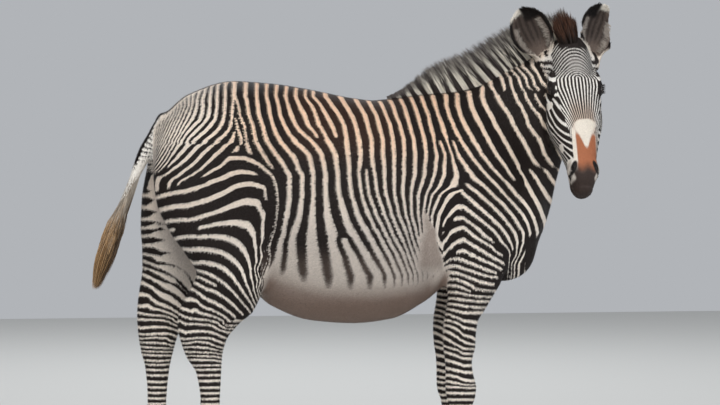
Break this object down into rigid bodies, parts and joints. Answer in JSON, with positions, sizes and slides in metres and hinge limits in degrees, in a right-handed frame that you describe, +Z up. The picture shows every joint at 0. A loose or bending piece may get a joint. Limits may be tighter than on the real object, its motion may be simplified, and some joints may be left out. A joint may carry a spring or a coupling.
{
  "type": "zebra",
  "caption": "Life-size still model of a standing Grevy's zebra mare, heavy with foal, her head turned to her right and a hind leg set back.",
  "frame": {"origin": "on the ground, below the middle of the whole animal's box", "axes": "+X is the way the body faces, +Y is the animal's left side, +Z is up"},
  "size_m": [1.9183, 0.7104, 1.7988],
  "materials": {
    "coat": "short flat coat of cream and brown-black stripes",
    "long_hair": "stiff long hair, banded cream and brown-black",
    "eye": "wet, glossy dark brown",
    "hoof": "dry, satin horn"
  },
  "bodies": {
    "root": {"head": "coat", "muzzle": "coat", "lower_jaw": "coat", "neck": "coat", "shoulders": "coat", "barrel": "coat", "rump": "coat", "thigh_right": "coat", "thigh_left": "coat", "tail_dock": "coat", "foreleg_right_forearm": "coat", "foreleg_right_knee": "coat", "foreleg_right_cannon": "coat", "foreleg_right_pastern": "coat", "foreleg_left_forearm": "coat", "foreleg_left_knee": "coat", "foreleg_left_cannon": "coat", "foreleg_left_pastern": "coat", "hindleg_right_gaskin": "coat", "hindleg_right_hock": "coat", "hindleg_right_cannon": "coat", "hindleg_right_pastern": "coat", "hindleg_left_gaskin": "coat", "hindleg_left_hock": "coat", "hindleg_left_cannon": "coat", "hindleg_left_pastern": "coat", "ear_right": "coat", "ear_left": "coat", "mane": "long_hair", "forelock": "long_hair", "tail_hair": "long_hair", "eye_right": "eye", "eye_left": "eye", "foreleg_right_hoof": "hoof", "foreleg_left_hoof": "hoof", "hindleg_right_hoof": "hoof", "hindleg_left_hoof": "hoof"}
  },
  "joints": []
}
